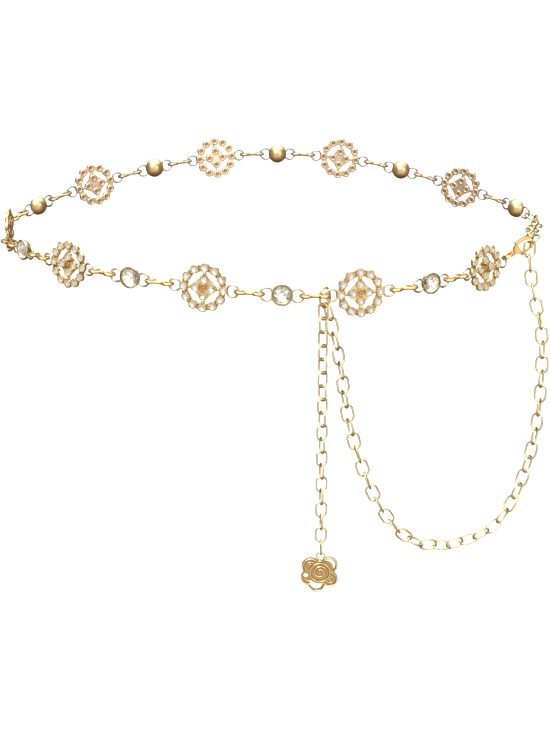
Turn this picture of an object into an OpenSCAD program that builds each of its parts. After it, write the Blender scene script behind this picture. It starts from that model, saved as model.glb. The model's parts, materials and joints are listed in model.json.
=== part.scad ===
// Waist chain: nine pierced rosettes set with small stones and nine large crystals in domed
// cups, joined by figure-eight links into a waist loop, with a lobster clasp, a swag of cable
// chain and a drop of finer cable chain that ends in a pierced rose.
// +X is the wearer's left, -Y the front, +Z up, and the origin is the middle of the waist loop.

/* [Rosette] */
// Radius of the outer row of stone cups
outer_row_r = 10.4; // [10:0.1:11.2]
// Radius of the inner row of stone cups
inner_row_r = 4.2; // [4:0.1:4.6]
// Outer radius of a stone cup
cup_r = 2.4; // [2.2:0.05:2.6]
// Wall of a stone cup
cup_wall = 0.4; // [0.3:0.05:0.5]
// Height of a stone cup, front to back
cup_h = 2.2; // [1.8:0.1:3]
// Thickness of the pierced plate under the cups
plate_t = 1.0; // [0.7:0.1:1.4]
// Width of the band that carries the outer row
band_w = 3.3; // [2.6:0.1:3.8]
// Width of each bridge between the two rows
bridge_w = 2.0; // [1.4:0.1:2.6]
// Radius of the open back under each small stone
back_hole_r = 0.85; // [0.6:0.05:1]
// Side of the square boss at the middle of the rosette
boss_side = 1.7; // [1.2:0.1:2]

/* [Small stones] */
// Gap between a small stone and its cup wall
stone_gap = 0.1; // [0.1:0.02:0.2]
// Height of a small stone's crown above its girdle
stone_crown = 0.75; // [0.5:0.05:1]
// Depth of a small stone below its girdle
stone_depth = 0.9; // [0.6:0.05:1]

/* [Wire loops] */
// Thickness of the loop wire on the rosettes, crystal cups and figure-eight links
loop_wire = 1.2; // [1:0.05:1.3]
// Radius of a rosette's side loop, to the middle of its wire
ear_r = 3.05; // [2.8:0.05:3.4]
// How far a side loop's inner edge sinks into the outer cup beside it
ear_sink = 1.41; // [1:0.01:1.8]
// Gap between wires that hook into each other
wire_gap = 0.2; // [0.16:0.01:0.26]

/* [Crystals] */
// Radius of the ball that forms a crystal's cup
ball_r = 5.75; // [5.4:0.05:6.2]
// Height of the cup's rim above the loops' plane
rim_z = 1.0; // [0.6:0.1:1.6]
// Wall of the cup at its rim
rim_wall = 0.6; // [0.45:0.05:0.8]
// Gap between a crystal and its cup wall
crystal_gap = 0.12; // [0.1:0.01:0.2]
// Height of a crystal's table above the loops' plane
table_z = 3.1; // [2.4:0.1:3.8]
// Depth of a crystal below its girdle
crystal_depth = 2.7; // [2:0.1:3]
// Radius of a crystal cup's side loop, to the middle of its wire
eye_r = 3.3; // [3:0.05:3.5]
// Distance from the cup's centre to the middle of a side loop
eye_x = 7.74; // [7.2:0.02:8.2]

/* [Figure-eight links] */
// Length of a figure-eight link between the middles of its end wires
eight_len = 14.28; // [13:0.02:15]
// Thickness of a figure-eight link's wire
eight_wire = 1.7; // [1.2:0.05:1.9]
// Radius of a figure-eight link's lobes, to the middle of the wire
lobe_r = 2.6; // [2.4:0.05:2.8]
// Gap between the two wires at the pinched waist
pinch_gap = 0.16; // [0.12:0.02:0.4]
// Lean of the front figure-eight links about their length, outer side down
front_lean = 3; // [0:1:30]
// Lean of the back figure-eight links about their length, inner side down
back_lean = 3; // [0:1:30]
// Slack of a figure-eight link between the loops that it joins
eight_slack = 0.1; // [0.05:0.01:0.2]

/* [Waist loop] */
// Length of the closing stretch of the loop, from the last crystal to the first rosette
closing_len = 97.6; // [90:0.2:106]

/* [Swag chain] */
// Outer length of a swag link
link_len = 10.5; // [10:0.1:11.5]
// Outer width of a swag link
link_w = 7.3; // [6.8:0.1:8]
// Thickness of the swag links' wire
link_wire = 1.15; // [1:0.05:1.25]

/* [Drop chain] */
// Outer length of a drop link
drop_link_len = 9.4; // [8.8:0.1:10]
// Outer width of a drop link
drop_link_w = 6.6; // [6.2:0.1:7.2]
// Thickness of the drop links' wire
drop_wire = 1.05; // [0.9:0.05:1.15]
// Number of links in the drop chain
drop_count = 19; // [15:1:22]

/* [Clasp] */
// Width of the lobster clasp
clasp_w = 8.0; // [7.6:0.1:8.6]
// Thickness of the lobster clasp
clasp_t = 2.4; // [2.2:0.1:2.8]
// Wall of the hook round its opening
hook_wall = 1.6; // [1.4:0.05:1.8]
// Distance from the clasp's shoulder to the middle of the hook's arc
hook_h = 4.3; // [4:0.1:4.8]
// Thickness of the clasp's lever
lever_t = 1.1; // [0.9:0.05:1.2]
// Side clearance of the lever in its slot
slot_gap = 0.1; // [0.08:0.01:0.2]
// Gap between the lever's tip and the hook
tip_gap = 0.25; // [0.22:0.01:0.35]
// Diameter of the lever's pin
pin_d = 0.9; // [0.8:0.05:1]
// Clearance of the lever's bore round its pin, on the radius
pin_clear = 0.08; // [0.06:0.01:0.1]
// How far the thumb tab stands out of the clasp
tab_out = 1.7; // [1.2:0.1:2.2]
// Radius of the clasp's bail, to the middle of its wire
bail_r = 1.4; // [1.35:0.05:1.6]
// Thickness of the bail's wire
bail_wire = 1.1; // [1:0.05:1.15]
// Radius of the jump ring that holds the clasp, to the middle of its wire
jump_r = 2.75; // [2.6:0.05:3]
// Thickness of the jump ring's wire
jump_wire = 1.1; // [1:0.05:1.2]

/* [Front ring] */
// Half width of the front ring, to the middle of its wire
front_half_w = 3.45; // [3.3:0.05:3.7]
// Half height of the front ring, to the middle of its wire
front_half_h = 5.1; // [4.9:0.05:5.4]
// Thickness of the front ring's wire
front_wire = 1.5; // [1.4:0.05:1.6]

/* [Rose] */
// Overall scale of the rose's plan, as its half width
rose_half = 9.9; // [9.4:0.1:10.5]
// Thickness of the rose between its raised petal edges
rose_base_t = 1.2; // [1:0.1:1.6]
// Height of the raised petal edges above that
rose_relief = 0.9; // [0.6:0.1:1.2]
// Width of a raised petal edge
rose_rim_w = 0.9; // [0.7:0.05:1.1]
// Radius of the rose's cast ring, to the middle of its wire
rose_ring_r = 2.15; // [2.05:0.05:2.4]
// Thickness of the cast ring's wire
rose_ring_wire = 1.0; // [0.9:0.05:1.1]

/* [Hidden] */
// Points of the waist loop, going round from the first rosette's side loop to the last crystal
waist_points = [
    [121.6, -46.3, -14.7], [74.3, -83.6, -20.3], [16.7, -100.3, -22.9], [-44.6, -94.5, -19.3],
    [-103.1, -72.0, -14.0], [-146.2, -31.7, -9.2], [-159.5, 6.0, -3.0], [-133.0, 44.5, 9.8],
    [-72.8, 73.1, 25.0], [-12.4, 88.7, 31.0], [48.4, 88.4, 27.2], [104.2, 71.9, 14.5],
    [147.0, 44.0, 1.0], [151.8, -0.1, -8.4]
];
// Points of the swag between its hanging link and the front ring
swag_points = [
    [136.4, -50.8, -30], [139.6, -54.5, -43], [141.6, -57.5, -56], [141.6, -60.5, -74.8],
    [140.5, -63.5, -93.8], [137.8, -66.5, -111.7], [133.4, -69.5, -127.4], [127, -72.5, -142.5],
    [117, -75.5, -156.3], [102.5, -79, -162.9], [84.4, -84, -164.3], [67.5, -88, -157.8],
    [52.6, -91.5, -138.5], [41.2, -94, -111.8], [33.8, -95.5, -83.4], [30, -97, -58]
];
rosette_count = 9;
outer_cups = 12;
inner_cups = 4;
steps = 10;
smooth = 48;
wire_sides = 5;
link_points = 10;
small_sides = 8;
crystal_sides = 12;

rosettes = [for (i = [1 : rosette_count]) i];
eights = [for (i = [1 : 2 * rosette_count - 1]) i];

gold = [0.93, 0.72, 0.36];
pale_gold = [0.96, 0.82, 0.52];
clear_stone = [0.93, 0.93, 0.96];

// Vectors and frames; a frame is [origin, x axis, y axis, z axis]
function unit(v) = v / norm(v);
function square_to(v, axis) = unit(v - axis * (v * axis));
function turned(v, axis, angle) = v * cos(angle) + cross(axis, v) * sin(angle);
function frame_matrix(f) = [
    [f[1].x, f[2].x, f[3].x, f[0].x],
    [f[1].y, f[2].y, f[3].y, f[0].y],
    [f[1].z, f[2].z, f[3].z, f[0].z],
    [0, 0, 0, 1]
];
function in_frame(f, p) = f[0] + f[1] * p.x + f[2] * p.y + f[3] * p.z;
module placed(f) {
    multmatrix(frame_matrix(f)) children();
}

// Smooth curves through a few points, and steps along them
function curve_at(a, b, c, d, u) =
    0.5 * (2 * b + (c - a) * u + (2 * a - 5 * b + 4 * c - d) * u * u
           + (3 * b - a - 3 * c + d) * u * u * u);
function closed_curve(p) = let (n = len(p)) concat(
    [for (i = [0 : n - 1]) for (s = [0 : steps - 1])
        curve_at(p[(i + n - 1) % n], p[i], p[(i + 1) % n], p[(i + 2) % n], s / steps)],
    [p[0]]
);
function open_curve(p) = let (n = len(p)) concat(
    [for (i = [0 : n - 2]) for (s = [0 : steps - 1])
        curve_at(p[max(i - 1, 0)], p[i], p[i + 1], p[min(i + 2, n - 1)], s / steps)],
    [p[n - 1]]
);
function run_lengths(path) = [
    for (i = 0, s = 0; i < len(path);
         s = s + (i + 1 < len(path) ? norm(path[i + 1] - path[i]) : 0), i = i + 1) s
];
function path_length(path) = let (runs = run_lengths(path)) runs[len(runs) - 1];
function span_holding(runs, s, i = 0) =
    i + 2 < len(runs) && runs[i + 1] < s ? span_holding(runs, s, i + 1) : i;
function along(path, runs, s) =
    let (i = span_holding(runs, s))
    path[i] + (path[i + 1] - path[i]) * (s - runs[i]) / (runs[i + 1] - runs[i]);
function even_pins(path, count) =
    let (runs = run_lengths(path), total = runs[len(runs) - 1])
    [for (i = [0 : count]) along(path, runs, total * i / count)];
function span_reaching(path, from, reach, i) =
    i + 2 < len(path) && norm(path[i + 1] - from) < reach
        ? span_reaching(path, from, reach, i + 1) : i;
function crossing(from, a, b, reach) =
    let (d = b - a, f = a - from, qa = d * d, qb = 2 * (f * d), qc = f * f - reach * reach)
    a + d * ((-qb + sqrt(max(qb * qb - 4 * qa * qc, 0))) / (2 * qa));
function chord_pins(path, chords, from, k = 0, i = 0) =
    k == len(chords) ? [from] :
    let (j = span_reaching(path, from, chords[k], i),
         next = crossing(from, path[j], path[j + 1], chords[k]))
    concat([from], chord_pins(path, chords, next, k + 1, j));

// The waist loop: pins lie midway between wires that hook into each other
loop_hook = (loop_wire + eight_wire) / 2 + wire_gap;
rosette_ear_x = outer_row_r + cup_r - ear_sink + ear_r + loop_wire / 2;
rosette_chord = 2 * (rosette_ear_x + ear_r) - loop_hook;
crystal_chord = 2 * (eye_x + eye_r) - loop_hook;
eight_chord = eight_len - loop_hook - eight_slack;
chords = [
    for (i = [0 : 4 * rosette_count - 2])
        i % 4 == 0 ? rosette_chord : i % 4 == 2 ? crystal_chord : eight_chord
];
chord_sum = rosette_count * (rosette_chord + crystal_chord)
    + (2 * rosette_count - 1) * eight_chord;
route_scale = (chord_sum + closing_len) / path_length(closed_curve(waist_points));
waist_path = closed_curve(waist_points * route_scale);
waist_pins = chord_pins(waist_path, chords, waist_path[0]);

function waist_frame(k) =
    let (a = waist_pins[k], b = waist_pins[k + 1], d = unit(b - a), n = unit(cross([0, 0, 1], d)))
    [(a + b) / 2, -d, cross(n, -d), n];
function rosette_frame(i) = waist_frame(4 * i - 4);
function crystal_frame(i) = waist_frame(4 * i - 2);
function loop_end(k, side) =
    in_frame(waist_frame(k), [side * (k % 4 == 0 ? rosette_ear_x + ear_r : eye_x + eye_r), 0, 0]);
function eight_frame(i) =
    let (a = loop_end(2 * i - 2, -1), b = loop_end(2 * i, 1), d = unit(b - a),
         out = unit(cross([0, 0, 1], d)),
         lean = (front_lean - back_lean) / 2 - out.y * (front_lean + back_lean) / 2,
         n = turned(out, d, -lean))
    [(a + b) / 2, -d, cross(n, -d), n];

// Wire bent along a closed flat path, as one faceted solid
function wire_mesh_points(path, r) = let (n = len(path)) [
    for (i = [0 : n - 1])
        let (d = unit(path[(i + 1) % n] - path[(i + n - 1) % n]), side = [d.y, -d.x])
        for (k = [0 : wire_sides - 1])
            let (a = 360 * k / wire_sides, out = side * r * cos(a))
            [path[i].x + out.x, path[i].y + out.y, r * sin(a)]
];
function wire_mesh_faces(n) = [
    for (i = [0 : n - 1]) for (k = [0 : wire_sides - 1])
        let (j = (i + 1) % n, m = (k + 1) % wire_sides)
        [i * wire_sides + k, i * wire_sides + m, j * wire_sides + m, j * wire_sides + k]
];
module bent_wire(path, wire) {
    polyhedron(wire_mesh_points(path, wire / 2), wire_mesh_faces(len(path)), convexity = 6);
}
function oval_path(length, width, wire) =
    let (half_l = (length - wire) / 2, half_w = (width - wire) / 2, straight = half_l - half_w)
    [for (i = [0 : link_points - 1])
        let (a = 360 * i / link_points, c = abs(cos(a)) < 0.001 ? 0 : sign(cos(a)))
        [straight * c + half_w * cos(a), half_w * sin(a)]];

// Frames of chain links between pins; the links turn by quarter turns about the chain
function carried_sides(dirs, side, i = 0) =
    i == len(dirs) ? [] :
    let (v = square_to(side, dirs[i])) concat([v], carried_sides(dirs, v, i + 1));
function link_frames(pins, side, first_roll, roll_step, wobble) =
    let (n = len(pins) - 1,
         dirs = [for (i = [0 : n - 1]) unit(pins[i + 1] - pins[i])],
         sides = carried_sides(dirs, side))
    [for (i = [0 : n - 1])
        let (y = turned(sides[i], dirs[i],
                        first_roll + roll_step * i + wobble * sin(137 * i)))
        [(pins[i] + pins[i + 1]) / 2, dirs[i], y, cross(dirs[i], y)]];
// Turn added at each link so that the last link's side ends up along a given one
function even_twist(pins, side, first_roll, wobble, last_side) =
    let (n = len(pins) - 1,
         dirs = [for (i = [0 : n - 1]) unit(pins[i + 1] - pins[i])],
         carried = carried_sides(dirs, side)[n - 1],
         wanted = square_to(last_side, dirs[n - 1]),
         turn = atan2(cross(carried, wanted) * dirs[n - 1], carried * wanted),
         left = turn - first_roll - 90 * (n - 1) - wobble * sin(137 * (n - 1)))
    (left - 180 * round(left / 180)) / (n - 1);
module chain_link(length, width, wire) {
    bent_wire(oval_path(length, width, wire), wire);
}

// The clasp hangs on the first rosette's side loop and points up towards the closing chain
clasp_dir = unit([14, 2, 9.4]);
clasp_face = unit(cross(clasp_dir, [0, 0, 1]));
clasp_side = cross(clasp_dir, clasp_face);
jump_hook = (loop_wire + jump_wire) / 2 + 2 * wire_gap;
bail_hook = (jump_wire + bail_wire) / 2 + wire_gap;
clasp_lift = 70;
jump_centre = clasp_dir * jump_r + in_frame(rosette_frame(1), [
    rosette_ear_x + (ear_r - jump_hook) * cos(clasp_lift), (ear_r - jump_hook) * sin(clasp_lift), 0]);
shoulder_r = 2.6;
shoulder_y = -1.0;
bail_y = shoulder_y - shoulder_r - bail_r + bail_wire / 2 - 0.45;
clasp_origin = jump_centre + clasp_dir * (jump_r - bail_hook - bail_y + bail_r);
clasp_frame = [clasp_origin, clasp_side, clasp_dir, clasp_face];
hook_inner = clasp_w / 2 - hook_wall;
pivot = [clasp_w / 2 - hook_wall / 2, 0.6];
lever_wall = 1.5;
lever_tip_y = hook_h + 0.9 - tip_gap;
lever_opens = 22;

// The hooked link lies in the hook, with the closing chain behind it and the swag before it
link_hook = link_wire + wire_gap;
link_reach = (link_len - link_wire) / 2 - link_hook / 2;
link_side = (link_w - link_wire) / 2;
link_pitch = link_len - link_wire - link_hook;
hooked_y = hook_h + hook_inner - link_wire / 2 - wire_gap;
hooked_centre = in_frame(clasp_frame, [0, hooked_y + link_side, 0]);
hooked_frame = [hooked_centre, clasp_face, clasp_dir, cross(clasp_face, clasp_dir)];
hanging_lift = link_hook - (link_len - link_wire) / 2;
hanging_depth = 2.12;
hanging_face = clasp_face;
hanging_centre = in_frame(clasp_frame, [0, hooked_y, hanging_depth]) + [0, 0, hanging_lift];
hanging_frame = [hanging_centre, [0, 0, -1], cross(hanging_face, [0, 0, -1]), hanging_face];
closing_pins = let (
    start = hooked_centre - clasp_face * link_reach,
    end = waist_pins[len(waist_pins) - 1],
    path = open_curve([start, start + [2.5, 16, -0.6], (start + end) / 2 + [1.5, 0, -3.2],
                       end + [3, -13, -3.4], end]))
    even_pins(path, ceil(path_length(path) / link_pitch));
closing_twist = -4.8;

// The front ring hangs round the side loop of the second rosette
front_turn = 50;
front_offset = [-3.3, 1.25, -1.35];
front_ear = in_frame(rosette_frame(2), [-rosette_ear_x, 0, 0]);
front_across = turned([1, 0, 0], [0, 0, 1], 90 - front_turn);
front_frame = [front_ear + front_offset, front_across, [0, 0, 1], cross(front_across, [0, 0, 1])];
function front_point(angle, inward) = in_frame(front_frame,
    [(front_half_w - inward) * sin(angle), -(front_half_h - inward) * cos(angle), 0]);
swag_angle = 38;
drop_angle = -34;
swag_pin = front_point(swag_angle, (front_wire + link_wire) / 2 + wire_gap) - [0, 0, link_hook / 2];
swag_pins = let (
    start = hanging_centre + [0, 0, -link_reach],
    path = open_curve(concat([start], swag_points * route_scale, [swag_pin])))
    even_pins(path, ceil(path_length(path) / link_pitch));
swag_roll = 22;
swag_wobble = 7;
swag_lean = -7;
ring_wire_dir = turned(front_frame[1], front_frame[3], swag_angle);
swag_twist = even_twist(swag_pins, hanging_face, swag_roll, swag_wobble,
                        turned(cross(ring_wire_dir, [0, 0, 1]), [0, 0, 1], swag_lean));

// The drop hangs straight down from the front ring
drop_hook = drop_wire + wire_gap;
drop_pitch = drop_link_len - drop_wire - drop_hook;
drop_pin = front_point(drop_angle, (front_wire + drop_wire) / 2 + 1.6 * wire_gap);
drop_start = drop_pin - [0, 0, drop_hook / 2];
drop_pins = [for (i = [0 : drop_count]) drop_start + [0, 0, -drop_pitch * i]];
drop_end = drop_pins[drop_count];
drop_roll = 37;
drop_step = 90 + (90 - drop_roll) / (drop_count - 1);
rose_hook = (drop_wire + rose_ring_wire) / 2 + wire_gap;
rose_ring_centre = drop_end + [0, 0, rose_hook - drop_hook / 2 - rose_ring_r];
rose_ring_at = [0.66, 9.95] * rose_half / 9.5;
rose_frame = [rose_ring_centre - [rose_ring_at.x, 0, rose_ring_at.y], [1, 0, 0], [0, 0, 1], [0, -1, 0]];

// Cut stone: table, crown and pavilion round a girdle, or with a second crown row
function ring_of(n, r, z, turn = 0) =
    [for (i = [0 : n - 1]) [r * cos(360 * (i + turn) / n), r * sin(360 * (i + turn) / n), z]];
module small_stone(r, crown, depth) {
    n = small_sides;
    points = concat(ring_of(n, r * 0.55, crown), ring_of(n, r, 0), [[0, 0, -depth]]);
    table = [for (i = [0 : n - 1]) n - 1 - i];
    crowns = [for (i = [0 : n - 1]) [i, (i + 1) % n, n + (i + 1) % n, n + i]];
    pavilions = [for (i = [0 : n - 1]) [n + i, n + (i + 1) % n, 2 * n]];
    polyhedron(points, concat([table], crowns, pavilions));
}
module large_stone(r, girdle, table, depth) {
    n = crystal_sides;
    middle = girdle + (table - girdle) * 0.62;
    points = concat(
        ring_of(n, r * 0.54, table), ring_of(n, r * 0.83, middle, 0.5),
        ring_of(n, r, girdle), [[0, 0, girdle - depth]]
    );
    table_face = [for (i = [0 : n - 1]) n - 1 - i];
    upper = [for (i = [0 : n - 1]) [i, (i + 1) % n, n + i]];
    upper_mains = [for (i = [0 : n - 1]) [(i + 1) % n, n + (i + 1) % n, n + i]];
    lower_mains = [for (i = [0 : n - 1]) [n + i, n + (i + 1) % n, 2 * n + (i + 1) % n]];
    lower = [for (i = [0 : n - 1]) [n + i, 2 * n + (i + 1) % n, 2 * n + i]];
    pavilions = [for (i = [0 : n - 1]) [2 * n + i, 2 * n + (i + 1) % n, 3 * n]];
    polyhedron(points, concat([table_face], upper, upper_mains, lower_mains, lower, pavilions));
}

// Rosette in its own frame: X along the chain, Y up, Z to the front
function cup_places() = concat(
    [for (i = [0 : outer_cups - 1]) let (a = 360 * i / outer_cups)
        [outer_row_r * cos(a), outer_row_r * sin(a)]],
    [for (i = [0 : inner_cups - 1]) let (a = 360 * i / inner_cups)
        [inner_row_r * cos(a), inner_row_r * sin(a)]]
);
module wire_ring(r, wire) {
    rotate_extrude($fn = smooth) translate([r, 0]) circle(d = wire, $fn = smooth / 2);
}
module pierced_plan() {
    band_r = outer_row_r - cup_r + 0.3;
    corner = inner_row_r / sqrt(2);
    difference() {
        circle(band_r + band_w, $fn = 2 * smooth);
        circle(band_r, $fn = 2 * smooth);
    }
    for (a = [45, 135]) rotate(a) square([2 * (corner + cup_r - 0.2), 2 * corner], center = true);
    for (a = [0, 90]) rotate(a) square([2 * (band_r + 0.4), bridge_w], center = true);
}
module rosette_body() {
    difference() {
        union() {
            translate([0, 0, -plate_t / 2 - 0.2]) linear_extrude(plate_t) pierced_plan();
            for (p = cup_places()) translate([p.x, p.y, -cup_h / 2])
                cylinder(r = cup_r, h = cup_h, $fn = smooth);
            translate([0, 0, -0.4]) linear_extrude(cup_h / 2 + 0.2)
                rotate(45) square(boss_side, center = true);
            for (s = [-1, 1]) translate([s * rosette_ear_x, 0, 0]) wire_ring(ear_r, loop_wire);
        }
        for (p = cup_places()) {
            translate([p.x, p.y, 0]) cylinder(r = cup_r - cup_wall, h = cup_h, $fn = smooth);
            translate([p.x, p.y, -cup_h]) cylinder(r = back_hole_r, h = 2 * cup_h, $fn = smooth / 2);
        }
    }
}
module rosette(i) {
    color(pale_gold) placed(rosette_frame(i)) rosette_body();
}
module rosette_stones(i) {
    girdle_z = cup_h / 2 - 0.48;
    color(clear_stone) placed(rosette_frame(i))
        for (p = cup_places()) translate([p.x, p.y, girdle_z])
            small_stone(cup_r - cup_wall - stone_gap, stone_crown, stone_depth);
}

// Crystal and its domed cup, in the same kind of frame
ball_above_rim = 0.2;
crystal_seat_r = sqrt(ball_r * ball_r - ball_above_rim * ball_above_rim) - rim_wall;
module cup_body() {
    ball_z = rim_z + ball_above_rim;
    difference() {
        union() {
            difference() {
                translate([0, 0, ball_z]) sphere(ball_r, $fn = 2 * smooth);
                translate([0, 0, rim_z + ball_r]) cube(2 * ball_r, center = true);
            }
            for (s = [-1, 1]) translate([s * eye_x, 0, 0]) wire_ring(eye_r, loop_wire);
        }
        translate([0, 0, rim_z - 1.2]) cylinder(r = crystal_seat_r, h = ball_r, $fn = smooth);
        translate([0, 0, rim_z - 4]) cylinder(r1 = 0.8, r2 = crystal_seat_r - 0.5, h = 2.9, $fn = smooth);
    }
}
module crystal_cup(i) {
    color(gold) placed(crystal_frame(i)) cup_body();
}
module crystal(i) {
    color(clear_stone) placed(crystal_frame(i))
        large_stone(crystal_seat_r - crystal_gap, rim_z - 0.55, table_z, crystal_depth);
}

// Figure-eight link, lying flat: its lobes face up and down
function lobe_points(side) =
    let (centre = eight_len / 2 - lobe_r)
    [for (a = [-140, -95, -45, 0, 45, 95, 140])
        [side * (centre + lobe_r * cos(a)), side * lobe_r * sin(a)]];
eight_path = concat(
    lobe_points(1), [[0, (eight_wire + pinch_gap) / 2]],
    lobe_points(-1), [[0, -(eight_wire + pinch_gap) / 2]]
);
module connector(i) {
    color(pale_gold) placed(eight_frame(i)) rotate([90, 0, 0]) bent_wire(eight_path, eight_wire);
}

// Chains
module swag_chain() {
    closing = link_frames(closing_pins, clasp_side, 0, 90 + closing_twist, 0);
    swag = link_frames(swag_pins, hanging_face, swag_roll, 90 + swag_twist, swag_wobble);
    color(gold) for (f = concat(closing, [hooked_frame, hanging_frame], swag))
        placed(f) chain_link(link_len, link_w, link_wire);
}
module tail_chain() {
    color(gold) for (f = link_frames(drop_pins, [1, 0, 0], drop_roll, drop_step, 0))
        placed(f) chain_link(drop_link_len, drop_link_w, drop_wire);
}

// Clasp, in its own frame: Y from the bail to the hook, X to the lever's side
module clasp_plan() {
    difference() {
        union() {
            translate([0, hook_h]) circle(clasp_w / 2, $fn = smooth);
            translate([0, (hook_h + shoulder_y) / 2])
                square([clasp_w - 0.08, hook_h - shoulder_y], center = true);
            translate([0, shoulder_y]) circle(shoulder_r, $fn = smooth);
        }
        translate([0, hook_h]) circle(hook_inner, $fn = smooth);
        translate([-hook_inner + 0.04, 0]) square([2 * hook_inner - 0.08, hook_h]);
        translate([hook_inner - 0.5, 0.9]) square([hook_wall + 1, hook_h]);
    }
}
module clasp_body() {
    slot_t = lever_t + 2 * slot_gap;
    color(gold) placed(clasp_frame) {
        difference() {
            translate([0, 0, -clasp_t / 2]) linear_extrude(clasp_t) clasp_plan();
            translate([pivot.x, pivot.y, -slot_t / 2]) cylinder(r = 1.3, h = slot_t, $fn = smooth);
            translate([pivot.x, pivot.y - 1, -slot_t / 2]) cube([2, 3, slot_t]);
        }
        translate([pivot.x, pivot.y, -clasp_t / 2]) cylinder(d = pin_d, h = clasp_t, $fn = smooth);
        translate([0, bail_y, 0]) wire_ring(bail_r, bail_wire);
    }
}
module clasp_lever() {
    bore_d = pin_d + 2 * pin_clear;
    color(gold) placed(clasp_frame) translate([0, 0, -lever_t / 2]) linear_extrude(lever_t)
        difference() {
            union() {
                translate(pivot) circle(1.05, $fn = smooth);
                translate([pivot.x - lever_wall / 2, pivot.y]) square([lever_wall, lever_tip_y - pivot.y]);
                translate([pivot.x, pivot.y + 0.1]) square([hook_wall / 2 + tab_out, 0.9]);
            }
            translate(pivot) circle(d = bore_d, $fn = smooth);
        }
}
module clasp_ring() {
    color(gold) placed([jump_centre, clasp_dir, clasp_face, clasp_side])
        wire_ring(jump_r, jump_wire);
}

// Front ring: an upright oval
module front_ring() {
    path = [for (i = [0 : 15]) let (a = 22.5 * i) [front_half_w * cos(a), front_half_h * sin(a)]];
    color(gold) placed(front_frame) bent_wire(path, front_wire);
}

// Rose in its own frame: X across, Y up, Z to the front; each row is centre across, up, radius,
// as shares of the half width, and later petals lie in front of earlier ones
petals = [
    [0.085, 0.37, 0.46], [0.52, 0.53, 0.47], [-0.15, -0.53, 0.47], [-0.58, -0.19, 0.42],
    [0.57, -0.27, 0.43], [-0.46, 0.45, 0.5]
];
bud = [0.035, 0.12, 0.58];
module petal_disc(p, inset = 0) {
    translate([p.x, p.y] * rose_half) circle(p.z * rose_half - inset, $fn = smooth);
}
module petal_rim(p, inset) {
    difference() {
        petal_disc(p, inset);
        petal_disc(p, inset + rose_rim_w);
    }
}
module rose_gaps() {
    difference() {
        petal_disc(petals[2], 1.25);
        petal_disc([bud.x, bud.y, 0.66]);
    }
    difference() {
        petal_disc(petals[1], 1.35);
        petal_disc([0.36, 0.34, 0.4]);
        petal_disc(petals[4], -0.7);
    }
    translate([-0.72, -0.07] * rose_half) circle(0.13 * rose_half, $fn = smooth);
    translate([0.12, 0.62] * rose_half) circle(0.09 * rose_half, $fn = smooth);
}
// Petal edge that winds out from the middle of the bud
bud_turns = 1.6;
bud_steps = 26;
function bud_point(t, side) =
    let (r = (0.95 + 2.85 * t) * rose_half / 9.5 + side * rose_rim_w / 2, a = 200 - 360 * bud_turns * t)
    [bud.x * rose_half + r * cos(a), bud.y * rose_half + r * sin(a)];
module bud_spiral() {
    polygon(concat([for (k = [0 : bud_steps]) bud_point(k / bud_steps, 1)],
                   [for (k = [bud_steps : -1 : 0]) bud_point(k / bud_steps, -1)]));
}
module rose_relief_plan() {
    for (k = [0 : len(petals) - 1]) difference() {
        union() {
            petal_rim(petals[k], 0.05);
            petal_rim(petals[k], 0.05 + 2 * rose_rim_w);
        }
        for (j = [k + 1 : 1 : len(petals) - 1]) petal_disc(petals[j], -0.1);
        petal_disc(bud, -0.1);
        rose_gaps();
    }
    petal_rim(bud, 0);
    bud_spiral();
}
module rose_pendant() {
    color(gold) placed(rose_frame) {
        translate([0, 0, -rose_base_t / 2]) {
            linear_extrude(rose_base_t) difference() {
                union() {
                    for (p = petals) petal_disc(p);
                    petal_disc(bud);
                }
                rose_gaps();
            }
            linear_extrude(rose_base_t + rose_relief) rose_relief_plan();
        }
        translate([rose_ring_at.x, rose_ring_at.y, 0]) wire_ring(rose_ring_r, rose_ring_wire);
    }
}

for (i = rosettes) {
    rosette(i);
    rosette_stones(i);
    crystal_cup(i);
    crystal(i);
}
for (i = eights) connector(i);
swag_chain();
tail_chain();
clasp_body();
clasp_lever();
clasp_ring();
front_ring();
rose_pendant();
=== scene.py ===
"""Looks of the waist chain: rosettes, crystals, wire links, chains, clasp and rose.

Each sub-assembly models its shapes once, in millimetres, and lays copies of them where the
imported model's own solids are.
"""

import json
import logging
import math
from dataclasses import dataclass
from enum import Enum
from typing import Callable, Iterable, Sequence

import bpy
import numpy as np
from mathutils import Matrix, Vector

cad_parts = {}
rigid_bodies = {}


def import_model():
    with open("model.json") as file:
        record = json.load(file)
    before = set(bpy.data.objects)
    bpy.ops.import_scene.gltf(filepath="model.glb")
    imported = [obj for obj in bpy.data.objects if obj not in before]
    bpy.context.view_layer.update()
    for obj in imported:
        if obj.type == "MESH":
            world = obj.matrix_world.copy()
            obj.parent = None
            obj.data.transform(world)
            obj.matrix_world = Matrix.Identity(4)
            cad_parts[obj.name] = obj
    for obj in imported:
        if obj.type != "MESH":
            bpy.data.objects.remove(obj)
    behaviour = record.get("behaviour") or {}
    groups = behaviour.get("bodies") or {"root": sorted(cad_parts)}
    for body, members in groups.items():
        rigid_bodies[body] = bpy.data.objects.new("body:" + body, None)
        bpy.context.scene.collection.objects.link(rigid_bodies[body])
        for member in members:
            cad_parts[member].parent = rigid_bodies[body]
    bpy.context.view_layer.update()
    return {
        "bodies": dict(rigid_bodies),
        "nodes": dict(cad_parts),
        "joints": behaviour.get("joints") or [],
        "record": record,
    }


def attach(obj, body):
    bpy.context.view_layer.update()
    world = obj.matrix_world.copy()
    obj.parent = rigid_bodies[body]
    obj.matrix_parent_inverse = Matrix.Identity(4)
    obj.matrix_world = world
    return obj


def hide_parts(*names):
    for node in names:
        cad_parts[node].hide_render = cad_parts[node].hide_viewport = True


LOG = logging.getLogger("waist_chain")
MM = 0.001
Colour = tuple[float, float, float]
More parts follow.
